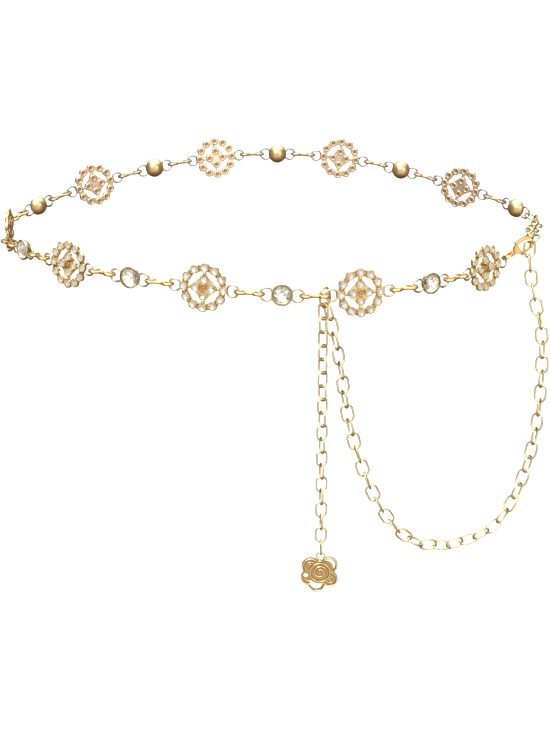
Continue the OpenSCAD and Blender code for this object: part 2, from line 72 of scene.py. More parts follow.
Spot = tuple[float, float, float]
Profile = tuple[tuple[float, float], ...]
Stops = tuple[tuple[float, Colour], ...]
Test = Callable[[Vector], bool]
Shape = bpy.types.Object
Paint = bpy.types.Material
Face = bpy.types.MeshPolygon


class Slot(Enum):
    """Material slots of the record."""

    PALE_GOLD = "pale_gold"
    GOLD = "gold"
    SMALL_STONES = "small_stones"
    CRYSTALS = "crystals"


class Sig:
    """A shader socket that takes part in Python expressions."""

    def __init__(self, graph: "Graph", socket: bpy.types.NodeSocket) -> None:
        """Keep the socket and the graph that it belongs to."""
        self.graph = graph
        self.socket = socket

    def _math(self, operation: str, other: object) -> "Sig":
        """Add a Math node on this signal and another value, and return its result."""
        return self.graph.node("ShaderNodeMath", {"operation": operation}, {0: self, 1: other})

    def __add__(self, other: object) -> "Sig":
        """Sum of two signals."""
        return self._math("ADD", other)

    __radd__ = __add__

    def __mul__(self, other: object) -> "Sig":
        """Product of two signals."""
        return self._math("MULTIPLY", other)

    __rmul__ = __mul__


def rgba(colour: Colour) -> tuple[float, float, float, float]:
    """The colour with full alpha."""
    return (*colour, 1.0)


class Graph:
    """The node tree of one material or world."""

    def __init__(self, owner: bpy.types.Material | bpy.types.World) -> None:
        """Clear the owner's tree and start it again."""
        owner.use_nodes = True
        self.tree = owner.node_tree
        self.tree.nodes.clear()

    def node(
        self,
        kind: str,
        settings: dict[str, object] | None = None,
        inputs: dict[int | str, object] | None = None,
        output: int | str = 0,
    ) -> Sig:
        """Add a node.

        Args:
            kind: Type name of the node.
            settings: Attributes that are set first; "stops" fills a colour ramp.
            inputs: Values or signals of its sockets.
            output: The output that the returned signal stands for.

        Returns:
            The signal of the chosen output.
        """
        made = self.tree.nodes.new(kind)
        for name, value in (settings or {}).items():
            if name == "stops":
                ramp = made.color_ramp
                while len(ramp.elements) < len(value):
                    ramp.elements.new(0.5)
                for element, (place, colour) in zip(ramp.elements, value):
                    element.position = place
                    element.color = rgba(colour)
            else:
                setattr(made, name, value)
        for key, value in (inputs or {}).items():
            if isinstance(value, Sig):
                self.tree.links.new(value.socket, made.inputs[key])
            else:
                made.inputs[key].default_value = value
        return Sig(self, made.outputs[output] if len(made.outputs) else None)

    def mix(self, factor: Sig, first: Sig | Colour, second: Sig | Colour) -> Sig:
        """Mix two colours, with the factor as the share of the second."""
        a, b = (end if isinstance(end, Sig) else rgba(end) for end in (first, second))
        return self.node("ShaderNodeMix", {"data_type": "RGBA"}, {0: factor, 6: a, 7: b}, 2)

    def rise(self, signal: Sig, start: float, end: float, top: float = 1.0) -> Sig:
        """Rise from 0 to a top value while a signal goes from one value to another."""
        return self.node("ShaderNodeMapRange", None, {0: signal, 1: start, 2: end, 3: 0.0, 4: top})

    def noise(self, place: Sig, scale: float, detail: float) -> Sig:
        """Add cloudy noise from 0 to 1 that reads the given coordinates."""
        inputs = {"Vector": place, "Scale": scale, "Detail": detail}
        return self.node("ShaderNodeTexNoise", None, inputs)


@dataclass(frozen=True)
class Finish:
    """A surface that one Principled shader gives."""

    name: str

    def inputs(self, graph: Graph, place: Sig) -> dict[str, object]:
        """Work out the shader's inputs, by the name of their socket, from object coordinates."""
        raise NotImplementedError

    def make(self) -> Paint:
        """Build the material.

        Returns:
            The finished material.
        """
        material = bpy.data.materials.new(self.name)
        graph = Graph(material)
        place = graph.node("ShaderNodeTexCoord", output="Object")
        shader = graph.node("ShaderNodeBsdfPrincipled", None, self.inputs(graph, place))
        graph.node("ShaderNodeOutputMaterial", None, {"Surface": shader})
        return material


@dataclass(frozen=True)
class GoldFinish(Finish):
    """Plated metal: bright where it is open, brown in tarnish patches and where shade is painted
    into its hollows, and darkened by painted shade on the far side of the loop.
    """

    bright: Colour
    # deep is the colour of tarnish and of the painted shade in hollows.
    deep: Colour = (0.36, 0.20, 0.07)
    # Colour of the painted shade on the far side of the loop; none leaves it out.
    far_side_shade: Colour | None = None
    roughness: float = 0.15
    grain: float = 0.02
    # How far the painted shade in hollows reaches, in millimetres.
    shade_reach: float = 0.6
    tarnish: float = 0.3
    far_start: float = 0.5
    far_end: float = 45.0

    def inputs(self, graph: Graph, place: Sig) -> dict[str, object]:
        """Work out the shader's inputs.

        Args:
            graph: Node tree of the material.
            place: Object coordinates.

        Returns:
            Values and signals by the name of their socket.
        """
        cloud = graph.noise(place, 260.0, 4.0)
        pits = graph.noise(place, 2600.0, 3.0)
        # Ambient occlusion paints shade into hollows and between parts: it darkens the base colour
        # there towards deep, and also roughens it.
        open_air = graph.node(
            "ShaderNodeAmbientOcclusion",
            {"samples": 6, "only_local": True},
            {"Distance": self.shade_reach * MM},
            1,
        )
        recess_shade = graph.rise(open_air, 0.85, 0.3)
        patch = graph.rise(cloud, 0.5, 0.75, self.tarnish)
        shade_and_tarnish = graph.node("ShaderNodeMath", {"operation": "MAXIMUM"}, {0: recess_shade, 1: patch})
        bright: Sig | Colour = self.bright
        # Painted shade: the farther a piece lies behind the loop's front, the more its colour turns
        # to the darker far-side colour.
        if self.far_side_shade:
            depth = graph.node("ShaderNodeSeparateXYZ", None, {"Vector": place}, 1)
            behind = graph.rise(depth, self.far_start * MM, self.far_end * MM)
            bright = graph.mix(behind, self.bright, self.far_side_shade)
        bump = graph.node(
            "ShaderNodeBump", None, {"Strength": self.grain, "Distance": 0.1 * MM, "Height": pits}
        )
        return {
            "Base Color": graph.mix(shade_and_tarnish, bright, self.deep),
            "Metallic": 1.0,
            "Roughness": self.roughness + 0.1 * cloud + 0.18 * recess_shade,
            "Normal": bump,
        }


@dataclass(frozen=True)
class GlassFinish(Finish):
    """Clear cut glass, with a little wear on its facets."""

    tint: Colour
    ior: float = 1.62

    def inputs(self, graph: Graph, place: Sig) -> dict[str, object]:
        """Work out the shader's inputs, with the wear as haze."""
        haze = 0.05 * graph.noise(place, 900.0, 3.0)
        glass = {"Base Color": rgba(self.tint), "IOR": self.ior, "Transmission Weight": 1.0}
        return {"Roughness": haze, **glass}


@dataclass(frozen=True)
class FoilFinish(Finish):
    """Mirror foil on the back of a cut stone, with dark specks painted in as reflections."""

    bright: Colour
    painted_speck: Colour
    roughness: float = 0.06
    metal: float = 1.0
    speck_scale: float = 1000.0
    speck_from: float = 0.57

    def inputs(self, graph: Graph, place: Sig) -> dict[str, object]:
        """Work out the shader's inputs.

        Args:
            graph: Node tree of the material.
            place: Object coordinates.

        Returns:
            Values and signals by the name of their socket.
        """
        # Painted reflections: dark specks of the foil stand for facets that mirror dark
        # surroundings.
        spots = graph.noise(place, self.speck_scale, 2.0)
        specks = graph.rise(spots, self.speck_from, self.speck_from + 0.05)
        return {
            "Base Color": graph.mix(specks, self.bright, self.painted_speck),
            "Metallic": self.metal,
            "Roughness": self.roughness + 0.1 * spots,
        }


@dataclass(frozen=True)
class PaperFinish(Finish):
    """Plain matt paper, a little uneven."""

    low: Colour = (0.9, 0.9, 0.9)
    high: Colour = (0.93, 0.93, 0.93)

    def inputs(self, graph: Graph, place: Sig) -> dict[str, object]:
        """Work out the shader's inputs, uneven as the fibre is."""
        fibre = graph.noise(place, 3.0, 4.0)
        return {"Base Color": graph.mix(fibre, self.low, self.high), "Roughness": 0.8}


class Palette:
    """Every finish of the chain, each built once."""

    def __init__(self) -> None:
        """Build the finishes."""
        # The reach settings set how far the painted shade reaches into hollows.
        self.rosette = GoldFinish("rosette_gold", (0.94, 0.74, 0.37)).make()
        self.rosette_back = GoldFinish(
            "rosette_back_gold", (0.80, 0.62, 0.44), (0.24, 0.16, 0.08), shade_reach=1.1
        ).make()
        self.cup = GoldFinish("cup_gold", (0.80, 0.70, 0.46)).make()
        self.cup_back = GoldFinish("cup_back_gold", (0.86, 0.60, 0.32), roughness=0.27).make()
        # The second colours of loop and link are painted shade for the far side of the loop.
        self.loop = GoldFinish("loop_gold", (0.68, 0.60, 0.42), far_side_shade=(0.46, 0.44, 0.40)).make()
        self.link = GoldFinish("link_gold", (0.88, 0.58, 0.28), far_side_shade=(0.52, 0.38, 0.25)).make()
        self.cable = GoldFinish("cable_gold", (0.84, 0.67, 0.38)).make()
        self.cast = GoldFinish("cast_gold", (0.94, 0.73, 0.42), shade_reach=0.9).make()
        self.clasp = GoldFinish(
            "clasp_gold", (0.90, 0.52, 0.18), grain=0.12, shade_reach=1.3, tarnish=0.6
        ).make()
        # The petal finish is painted shade for the rose's grooves between its rolled edges.
        self.petal = GoldFinish(
            "groove_shade_gold", (0.58, 0.36, 0.13), roughness=0.25, shade_reach=0.9
        ).make()
        # Painted shade, dark brown, for the pits under the stones and the dark beads between the
        # cups.
        self.pit_shade = GoldFinish(
            "pit_shade_gold", (0.50, 0.26, 0.07), (0.16, 0.06, 0.015), roughness=0.3
        ).make()
        self.glass = GlassFinish("clear_glass", (0.99, 0.97, 0.97)).make()
        # The second colour of each foil is its specks of painted dark reflection.
        self.small_foil = FoilFinish(
            "pale_foil", (0.98, 0.94, 0.89), (0.42, 0.37, 0.33),
            roughness=0.15, metal=0.35, speck_scale=1500.0, speck_from=0.6,
        ).make()
        self.large_foil = FoilFinish(
            "silver_foil", (0.97, 0.96, 0.93), (0.28, 0.26, 0.22)
        ).make()


def deselect() -> None:
    """Leave edit mode and deselect everything."""
    if bpy.context.object and bpy.context.object.mode != "OBJECT":
        bpy.ops.object.mode_set(mode="OBJECT")
    bpy.ops.object.select_all(action="DESELECT")


def take(obj: Shape) -> None:
    """Make one object the only selected and the active one."""
    deselect()
    obj.select_set(True)
    bpy.context.view_layer.objects.active = obj


def added(scale: Spot = (1.0, 1.0, 1.0)) -> Shape:
    """Scale the object that was just added, with its place and turn applied too.

    Args:
        scale: Its scale along X, Y and Z.

    Returns:
        The object.
    """
    obj = bpy.context.object
    obj.scale = scale
    bpy.ops.object.transform_apply(location=True, rotation=True, scale=True)
    return obj


def pick(obj: Shape, test: Test = lambda co: True) -> None:
    """Enter edit mode with the vertices selected that pass a test.

    Args:
        obj: The mesh object.
        test: Says whether a vertex at this place is taken.
    """
    take(obj)
    mesh = obj.data
    mesh.polygons.foreach_set("select", [False] * len(mesh.polygons))
    mesh.edges.foreach_set("select", [False] * len(mesh.edges))
    mesh.vertices.foreach_set("select", [test(v.co) for v in mesh.vertices])
    bpy.context.tool_settings.mesh_select_mode = (True, False, False)
    bpy.ops.object.mode_set(mode="EDIT")


def move(obj: Shape, step: Spot, test: Test = lambda co: True) -> None:
    """Move the vertices that pass a test.

    Args:
        obj: The mesh object.
        step: How far they move along X, Y and Z.
        test: Says whether a vertex at this place moves.
    """
    pick(obj, test)
    bpy.ops.transform.translate(value=step)
    bpy.ops.object.mode_set(mode="OBJECT")


def close(obj: Shape) -> None:
    """Merge doubles, point every face outwards and leave edit mode."""
    pick(obj)
    bpy.ops.mesh.select_all(action="SELECT")
    bpy.ops.mesh.remove_doubles(threshold=0.0005)
    bpy.ops.mesh.normals_make_consistent(inside=False)
    bpy.ops.object.mode_set(mode="OBJECT")


def modify(obj: Shape, kind: str, **settings: object) -> None:
    """Add a modifier with its settings and apply it.

    Args:
        obj: The mesh object.
        kind: Type of the modifier.
        settings: Its attributes.
    """
    take(obj)
    modifier = obj.modifiers.new(kind.lower(), kind)
    for name, value in settings.items():
        setattr(modifier, name, value)
    bpy.ops.object.modifier_apply(modifier=modifier.name)


def smooth(obj: Shape, degrees: float) -> None:
    """Shade smooth, with edges sharper than the angle kept crisp."""
    take(obj)
    bpy.ops.object.shade_smooth_by_angle(angle=math.radians(degrees))


def paint(
    obj: Shape, finishes: Sequence[Paint], choose: Callable[[Face], int] = lambda face: 0
) -> None:
    """Give each face of a shape one of its finishes.

    Args:
        obj: The shape.
        finishes: Its finishes.
        choose: Gives the number of a face's finish.
    """
    obj.data.materials.clear()
    for finish in finishes:
        obj.data.materials.append(finish)
    for face in obj.data.polygons:
        face.material_index = choose(face)


def ball(radius: float, place: Spot = (0.0, 0.0, 0.0), segments: int = 14, rings: int = 8) -> Shape:
    """Make a small ball.

    Args:
        radius: Its radius.
        place: Its middle.
        segments: Steps round it.
        rings: Steps from pole to pole.

    Returns:
        The ball.
    """
    deselect()
    bpy.ops.mesh.primitive_uv_sphere_add(
        segments=segments, ring_count=rings, radius=radius, location=place
    )
    obj = added()
    smooth(obj, 80)
    return obj


def lathe(profile: Sequence[tuple[float, float]], steps: int, crisp: float) -> Shape:
    """Turn a closed profile about the Z axis.

    Args:
        profile: Radius and height of each corner, going round.
        steps: Steps of the full turn.
        crisp: Angle past which an edge stays crisp, in degrees.

    Returns:
        The turned shape.
    """
    deselect()
    bpy.ops.mesh.primitive_circle_add(vertices=len(profile), radius=1.0)
    obj = added()
    for vertex, (radius, height) in zip(obj.data.vertices, profile):
        vertex.co = (radius, 0.0, height)
    pick(obj)
    bpy.ops.mesh.spin(steps=steps, angle=2 * math.pi, center=(0, 0, 0), axis=(0, 0, 1))
    close(obj)
    smooth(obj, crisp)
    return obj


def wire_ring(radius: float, wire: float, stretch: float = 0.0, turns: int = 36) -> Shape:
    """Make a wire ring, drawn out along X.

    Args:
        radius: Radius to the middle of the wire.
        wire: Thickness of the wire.
        stretch: How far each half is moved out along X.
        turns: Steps round the ring.

    Returns:
        The ring.
    """
    deselect()
    bpy.ops.mesh.primitive_torus_add(
        major_radius=radius, minor_radius=wire / 2, major_segments=turns, minor_segments=12,
        rotation=(0, 0, math.pi / turns),
    )
    obj = added()
    if stretch:
        for side in (-1, 1):
            move(obj, (side * stretch, 0, 0), lambda co: co.x * side > 0)
    close(obj)
    smooth(obj, 80)
    return obj


def bend(path: Sequence[Spot], wire: float, sides: int = 12, ends: float | None = None) -> Shape:
    """Bend a wire along a path.

    Args:
        path: Points of the middle of the wire.
        wire: Thickness of the wire.
        sides: Steps round the wire.
        ends: Share of the thickness at the ends of an open wire; none closes the path.

    Returns:
        The wire as a mesh.
    """
    deselect()
    bpy.ops.curve.primitive_bezier_circle_add(radius=1.0)
    curve = bpy.context.object.data
    curve.splines.clear()
    curve.dimensions = "3D"
    spline = curve.splines.new("POLY")
    last = len(path) - 1
    spline.points.add(last)
    for index, (point, place) in enumerate(zip(spline.points, path)):
        point.co = (*place, 1.0)
        if ends is not None:
            share = min(1.0, 4.0 * min(index, last - index) / last)
            point.radius = ends + (1 - ends) * math.sin(share * math.pi / 2)
    spline.use_cyclic_u = ends is None
    curve.bevel_depth = wire / 2
    curve.bevel_resolution = sides // 2 - 2
    curve.use_fill_caps = ends is not None
    bpy.ops.object.convert(target="MESH")
    obj = bpy.context.object
    close(obj)
    smooth(obj, 80)
    return obj


def soften(
    obj: Shape, gold: Paint, width: float, segments: int, clamped: bool, merge_flat: bool
) -> None:
    """Round the edges of a copied solid as polishing does.

    Args:
        obj: The copy, in millimetres.
        gold: Its material.
        width: Width of the rounded edges.
        segments: Steps across them.
        clamped: Whether they stop where they would overlap.
        merge_flat: Whether flat neighbours are merged first.
    """
    if merge_flat:
        pick(obj)
        bpy.ops.mesh.select_all(action="SELECT")
        bpy.ops.mesh.dissolve_limited(angle_limit=math.radians(4))
        bpy.ops.object.mode_set(mode="OBJECT")
    modify(
        obj, "BEVEL", width=width, segments=segments, limit_method="ANGLE",
        angle_limit=math.radians(50), use_clamp_overlap=clamped,
    )
    close(obj)
    smooth(obj, 60)
    modify(obj, "WEIGHTED_NORMAL", keep_sharp=True, weight=80)
    paint(obj, [gold])


def duplicate(template: Shape, place: Matrix, name: str = "copy") -> Shape:
    """Copy a shape, with a mesh of its own, to a place.

    Args:
        template: The shape.
        place: Where it goes; it is applied to the mesh.
        name: Name of the copy.

    Returns:
        The copy.
    """
    mesh = template.data.copy()
    mesh.name = name
    mesh.transform(place)
    obj = bpy.data.objects.new(name, mesh)
    bpy.context.scene.collection.objects.link(obj)
    return obj


def join(parts: Sequence[Shape]) -> Shape:
    """Join several objects into the first.

    Args:
        parts: The objects; the others are used up.

    Returns:
        The joined object.
    """
    deselect()
    for part in parts:
        part.select_set(True)
    bpy.context.view_layer.objects.active = parts[0]
    bpy.ops.object.join()
    return parts[0]


def discard(parts: Iterable[Shape]) -> None:
    """Delete templates that have been copied."""
    deselect()
    for part in parts:
        part.select_set(True)
    bpy.ops.object.delete()


def turn_z(degrees: float) -> Matrix:
    """Turn about the Z axis."""
    return Matrix.Rotation(math.radians(degrees), 4, "Z")


class Placement:
    """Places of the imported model's solids, worked out from their own shapes."""

    def __init__(self, frame: dict[str, object]) -> None:
        """Keep the loaded frame."""
        self.nodes: dict[str, Shape] = frame["nodes"]
        self.joints: dict[str, dict] = {joint["name"]: joint for joint in frame["joints"]}

    def template(self, node: str, frame: Matrix = Matrix.Identity(4)) -> Shape:
        """Copy a node's solid.

        Args:
            node: Name of the node.
            frame: The place that the copy is measured from, in millimetres.

        Returns:
            The copy, in millimetres.
        """
        obj = duplicate(self.nodes[node], frame.inverted() @ Matrix.Scale(1 / MM, 4))
        close(obj)
        return obj

    def triangles(self, node: str) -> np.ndarray:
        """Read a node's triangles.

        Args:
            node: Name of the node.

        Returns:
            Places of their corners, in millimetres.
        """
        mesh = self.nodes[node].data
        mesh.calc_loop_triangles()
        count = len(mesh.loop_triangles)
        index = np.zeros(count * 3, dtype=np.int32)
        mesh.loop_triangles.foreach_get("vertices", index)
        places = np.zeros(len(mesh.vertices) * 3, dtype=np.float32)
        mesh.vertices.foreach_get("co", places)
        return places.reshape(-1, 3)[index].reshape(count, 3, 3).astype(float) / MM

    def solids(self, node: str) -> list[np.ndarray]:
        """Split a node's triangles into its loose solids.

        Args:
            node: Name of the node.

        Returns:
            The triangles of each solid.
        """
        corners = self.triangles(node)
        keys = np.round(corners.reshape(-1, 3), 3)
        _, index = np.unique(keys, axis=0, return_inverse=True)
        index = index.reshape(-1, 3)
        label = np.arange(index.max() + 1)
        while True:
            low = label[index].min(axis=1)
            fresh = label.copy()
            for corner in range(3):
                np.minimum.at(fresh, index[:, corner], low)
            fresh = fresh[fresh]
            if np.array_equal(fresh, label):
                break
            label = fresh
        owner = label[index[:, 0]]
        return [corners[owner == value] for value in np.unique(owner)]

    @staticmethod
    def frame_of(corners: np.ndarray, outwards: bool = False) -> Matrix:
        """Find the middle and the main directions of one solid.

        Args:
            corners: The triangles of the solid.
            outwards: Whether its thin direction is turned away from the loop's middle, and
                its second direction up.

        Returns:
            A matrix with X along the longest direction and Z along the thinnest.
        """
        a, b, c = corners[:, 0], corners[:, 1], corners[:, 2]
        volume = np.einsum("ij,ij->i", a, np.cross(b, c)) / 6
        total = volume.sum()
        middle = ((a + b + c) * volume[:, None]).sum(0) / (4 * total)
        a, b, c = a - middle, b - middle, c - middle
        volume = np.einsum("ij,ij->i", a, np.cross(b, c)) / 6
        spread = sum(
            np.einsum("i,ij,ik->jk", volume, v, v) for v in (a, b, c, a + b + c)
        ) / (20 * total)
        _, directions = np.linalg.eigh(spread)
        thin, long = Vector(directions[:, 0]), Vector(directions[:, 2])
        if outwards and thin.x * middle[0] + thin.y * middle[1] < 0:
            thin = -thin
        up = thin.cross(long)
        if outwards and up.z < 0:
            long, up = -long, -up
        place = Matrix((long, up, thin)).transposed().to_4x4()
        place.translation = Vector(middle)
        return place

    def of_node(self, node: str, outwards: bool, mid: float) -> Matrix:
        """Find the place of a node that is one solid.

        Args:
            node: Name of the node.
            outwards: Whether it faces away from the loop's middle.
            mid: Height, in the template, of the middle between its lowest and highest points.

        Returns:
            The place of the template's origin.
        """
        corners = self.triangles(node)
        place = self.frame_of(corners, outwards)
        turn = np.array(place.to_3x3())
        local = corners.reshape(-1, 3) @ turn
        centre = (local.min(0) + local.max(0)) / 2 - np.array((0.0, 0.0, mid))
        place.translation = Vector(turn @ centre)
        return place


@dataclass
class Assembly:
    """Sub-assembly of the chain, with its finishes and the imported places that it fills."""

    finishes: Palette
    places: Placement

    def dress(self) -> None:
        """Model the sub-assembly's shapes and lay its pieces."""
        raise NotImplementedError

    @staticmethod
    def lay(
        shape: Shape, node: str, slot: Slot, place: Matrix = Matrix.Identity(4),
        body: str = "chain",
    ) -> None:
        """Lay a copy of a shape as the piece that stands for a node.

        Args:
            shape: The shape, in millimetres.
            node: Name of the node.
            slot: The record's material slot; not used.
            place: Its place, in millimetres.
            body: Body that it rides on.
        """
        piece = duplicate(shape, Matrix.Scale(MM, 4) @ place, node + "_look")
        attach(piece, body)
        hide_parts(node)
        LOG.info("%s laid", node)

    def lay_row(
        self, count: int, shapes: dict[str, tuple[Shape, Slot]], outwards: bool = True,
        mid: float = 0.0,
    ) -> None:
        """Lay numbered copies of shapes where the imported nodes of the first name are.

        Args:
            count: How many copies there are.
            shapes: Shape and slot by the nodes' name without its number.
            outwards: Whether they face away from the loop's middle.
            mid: Height, in the first shape, of the middle between its ends.
        """
        for index in range(1, count + 1):
            place = self.places.of_node(f"{next(iter(shapes))}_{index}", outwards, mid)
            for name, (shape, slot) in shapes.items():
                self.lay(shape, f"{name}_{index}", slot, place)
        discard([shape for shape, _ in shapes.values()])


@dataclass
class CutStone:
    """Round cut stone: table, two rows of crown facets and a foiled back.

    Shares are of the stone's radius, its crown or its depth.
    """

    radius: float
    crown: float
    depth: float
    girdle: float
    glass: Paint
    foil: Paint
    back_facets: int = 8
    table_share: float = 0.54
    star_share: float = 0.82
    star_height: float = 0.6
    pan_share: float = 0.7
    pan_depth: float = 0.7
    point_share: float = 0.02
    half_facet: float = 22.5

    def build(self) -> Shape:
        """Model the stone from rings of points and their hull.

        Returns:
            The stone.
        """
        parts = []
        for count, share, height, degrees in (
            (8, self.table_share, self.crown, 0.0),
            (8, self.star_share, self.star_height * self.crown, self.half_facet),
            (16, 1.0, 0.0, 0.0),
            (self.back_facets, self.pan_share, -self.pan_depth * self.depth, self.half_facet),
            (3, self.point_share, -self.depth, 0.0),
        ):
            deselect()
            bpy.ops.mesh.primitive_circle_add(
                vertices=count, radius=share * self.radius,
                location=(0, 0, self.girdle + height), rotation=(0, 0, math.radians(degrees)),
            )
            parts.append(added())
        stone = join(parts)
        pick(stone)
        bpy.ops.mesh.convex_hull()
        close(stone)
        paint(stone, (self.glass, self.foil), lambda face: int(face.normal.z < -0.05))
        return stone


@dataclass
class Setting(Assembly):
    """Setting with a wire loop at each side.

    The wall is the centre along X and the radius of the round wall that swallows the inner
    end of a loop.
    """

    loop_radius: float
    loop_x: float
    wall: tuple[float, float]
    wire: float = 1.2

    def loops(self) -> list[Shape]:
        """Model the wire loops, cut off where they enter the wall.

        Returns:
            The two loops.
        """
        centre, reach = self.wall
        loop = wire_ring(self.loop_radius, self.wire, turns=40)
        move(loop, (self.loop_x, 0, 0))
        pick(loop, lambda co: math.hypot(co.x - centre, co.y) < reach)
        bpy.ops.mesh.delete(type="VERT")
        bpy.ops.mesh.select_all(action="SELECT")
        bpy.ops.mesh.fill_holes(sides=0)
        close(loop)
        paint(loop, [self.finishes.loop])
        return [loop, duplicate(loop, turn_z(180))]


@dataclass
class Rosette(Setting):
    """Pierced rosette: a round band and a cross of stone cups, with a loop at each side.

    Bars are (length, width), and beads are (distance from the middle, height, radius).
    """

    loop_radius: float = 3.05
    loop_x: float = 15.04
    wall: tuple[float, float] = (10.4, 2.2)
    rows: tuple[tuple[float, int], ...] = ((10.4, 12), (4.2, 4))
    # The profile closes the hole under the stone with a floor, which gets the pit's painted shade.
    cup_profile: Profile = (
        (2.00, 0.92), (2.10, 1.06), (2.28, 1.08), (2.40, 0.92), (2.39, 0.10), (2.34, -0.50),
        (2.16, -0.86), (1.86, -1.05), (1.50, -1.08), (1.22, -1.00), (0.98, -0.80),
        (0.86, -0.50), (0.0, -0.46), (0.0, -0.34), (1.0, -0.30), (1.92, 0.25), (1.98, 0.70),
    )
    pit_low: float = -0.62
    pit_high: float = -0.4
    prong: Spot = (2.08, 1.02, 0.4)
    prong_bend: Spot = (-0.16, 0.0, 0.08)
    stone_radius: float = 1.9
    stone_crown: float = 0.75
    stone_depth: float = 0.9
    stone_girdle: float = 0.62
    stone_turn: float = 1.7
    band_inner: float = 8.3
    band_outer: float = 11.6
    band_edge: float = 0.16
    plate_low: float = -0.7
    plate_high: float = 0.3
    bar_edge: float = 0.18
    cross_bar: tuple[float, float] = (10.3, 5.9)
    bridge_bar: tuple[float, float] = (2.6, 2.0)
    bridge_at: float = 7.45
    seat_radius: float = 2.15
    bridge_bead: Spot = (7.42, 0.35, 0.78)
    corner_bead: Spot = (1.12, 0.62, 0.56)
    boss: Spot = (0.0, 0.62, 0.66)
    boss_reach: float = 1.9
    # Dark beads where the cups meet, painted as the shade between them.
    notch_shade_beads: tuple[Spot, ...] = ((9.15, 0.3, 0.46), (11.3, 0.3, 0.46))

    def cup_places(self, share: float = 1.0) -> list[Matrix]:
        """Work out where the cups are.

        Args:
            share: Turn of each, as a share of the angle that it stands at.

        Returns:
            The place of each cup.
        """
        return [
            Matrix.Translation((radius * math.cos(angle), radius * math.sin(angle), 0))
            @ Matrix.Rotation(share * angle, 4, "Z")
            for radius, count in self.rows
            for angle in (2 * math.pi * index / count for index in range(count))
        ]

    def cup(self) -> Shape:
        """Model one stone cup with four small prongs bent over the stone's edge.

        Returns:
            The cup.
        """
        out, height, radius = self.prong
        prong = ball(radius, segments=8, rings=6)
        move(prong, self.prong_bend, lambda co: co.z > 0)
        smooth(prong, 80)
        seat = Matrix.Translation((out, 0, height))
        prongs = [duplicate(prong, turn_z(45 + 90 * quarter) @ seat) for quarter in range(4)]
        discard([prong])
        return join([lathe(self.cup_profile, 24, 50), *prongs])

    def bar(self, size: tuple[float, float], out: float, degrees: float) -> Shape:
        """Model a flat bar with rounded edges, as thick as the plate.

        Args:
            size: Its length and width.
            out: Distance of its middle from the rosette's.
            degrees: Direction that it lies in.

        Returns:
            The bar.
        """
        turn = math.radians(degrees)
        middle = (self.plate_low + self.plate_high) / 2
        deselect()
        bpy.ops.mesh.primitive_cube_add(
            size=1.0, location=(out * math.cos(turn), out * math.sin(turn), middle),
            rotation=(0, 0, turn),
        )
        bar = added((*size, self.plate_high - self.plate_low))
        modify(bar, "BEVEL", width=self.bar_edge, segments=2, limit_method="ANGLE")
        smooth(bar, 50)
        return bar

    def plate(self) -> Shape:
        """Model the pierced plate: band, bridges and cross, opened where the cups sit in it.

        Returns:
            The plate.
        """
        low, high, edge = self.plate_low, self.plate_high, self.band_edge
        inner, outer = self.band_inner, self.band_outer
        profile = (
            (inner + edge, low), (outer - edge, low), (outer, low + edge), (outer, high - edge),
            (outer - edge, high), (inner + edge, high), (inner, high - edge), (inner, low + edge),
        )
        plate = lathe(profile, 72, 40)
        bars = [self.bar(self.cross_bar, 0.0, turn) for turn in (45, 135)]
        bars += [self.bar(self.bridge_bar, self.bridge_at, turn) for turn in (0, 90, 180, 270)]
        for bar in bars:
            modify(plate, "BOOLEAN", operation="UNION", object=bar)
        drills = []
        for place in self.cup_places():
            deselect()
            bpy.ops.mesh.primitive_cylinder_add(
                vertices=32, radius=self.seat_radius, depth=4.0, location=place.translation
            )
            drills.append(bpy.context.object)
        drill = join(drills)
        modify(plate, "BOOLEAN", operation="DIFFERENCE", object=drill)
        discard([*bars, drill])
        smooth(plate, 40)
        return plate

    @staticmethod
    def beads(bead: Spot, count: int, start: float = 0.0, segments: int = 14) -> list[Shape]:
        """Model beads evenly round the middle.

        Args:
            bead: Distance from the middle, height and radius of each.
            count: How many there are.
            start: Direction of the first, in degrees.
            segments: Steps round a bead.

        Returns:
            The beads.
        """
        out, height, radius = bead
        turns = [math.radians(start + 360.0 * index / count) for index in range(count)]
        return [
            ball(radius, (out * math.cos(turn), out * math.sin(turn), height), segments)
            for turn in turns
        ]

    def finish_of(self, face: Face) -> int:
        """Choose a metal face's finish.

        Args:
            face: The face.

        Returns:
            Number of the finish: front, back, painted shade in the pit under a stone, or boss.
        """
        # The pit under each stone gets painted shade.
        if face.normal.z < -0.25 and self.pit_low < face.center.z < self.pit_high:
            return 2
        near = math.hypot(face.center.x, face.center.y) < self.boss_reach
        if near and face.center.z > 0.2:
            return 3
        return int(face.normal.z < -0.25)

    def metal(self) -> Shape:
        """Model the whole metal of a rosette.

        Returns:
            The metal shape.
        """
        finishes = self.finishes
        cup = self.cup()
        parts = [duplicate(cup, place) for place in self.cup_places()]
        discard([cup])
        parts.append(self.plate())
        parts += self.beads(self.bridge_bead, 4)
        parts += self.beads(self.corner_bead, 4, 45.0)
        parts += self.beads(self.boss, 1)
        metal = join(parts)
        golds = (finishes.rosette, finishes.rosette_back, finishes.pit_shade, finishes.clasp)
        paint(metal, golds, self.finish_of)
        # Beads in the notches between cups carry the pit's painted shade, standing for the shade
        # between the cups.
        cups = self.rows[0][1]
        shade_dots = [dot for bead in self.notch_shade_beads for dot in self.beads(bead, cups, 180 / cups, 12)]
        for dot in shade_dots:
            paint(dot, [finishes.pit_shade])
        return join([metal, *shade_dots, *self.loops()])

    def stones(self) -> Shape:
        """Model the sixteen small stones of a rosette.

        Returns:
            The stones as one shape.
        """
        stone = CutStone(
            self.stone_radius, self.stone_crown, self.stone_depth, self.stone_girdle,
            self.finishes.glass, self.finishes.small_foil,
        ).build()
        parts = [duplicate(stone, place) for place in self.cup_places(self.stone_turn)]
        discard([stone])
        return join(parts)

    def dress(self) -> None:
        """Lay the nine rosettes and their stones."""
        metal, stones = (self.metal(), Slot.PALE_GOLD), (self.stones(), Slot.SMALL_STONES)
        self.lay_row(9, {"rosette": metal, "rosette_stones": stones})


